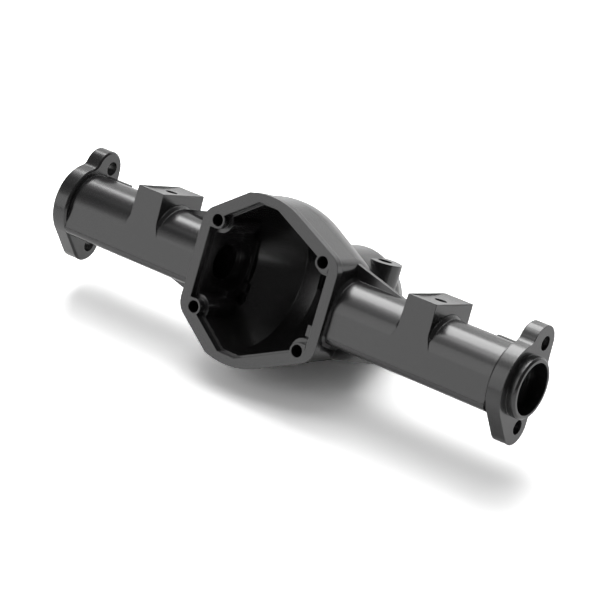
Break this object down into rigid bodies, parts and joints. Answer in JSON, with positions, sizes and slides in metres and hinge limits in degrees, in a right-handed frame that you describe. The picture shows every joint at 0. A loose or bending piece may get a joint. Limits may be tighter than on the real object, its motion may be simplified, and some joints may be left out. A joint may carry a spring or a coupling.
{
  "type": "axle housing",
  "caption": "One-piece moulded axle housing: a domed differential casing with an open cover side, a pinion nose, link blocks, and a bearing spigot and screw flange at each end.",
  "frame": {"origin": "on the axle axis, midway between the two end flanges", "axes": "+X along the axle towards the end whose tube is longer, +Y towards the pinion nose, +Z towards the link blocks' tops"},
  "size_m": [0.1198, 0.0322, 0.0362],
  "materials": {
    "housing": "satin moulded glass-filled nylon, black"
  },
  "bodies": {
    "root": {"axle_housing": "housing"}
  },
  "joints": []
}
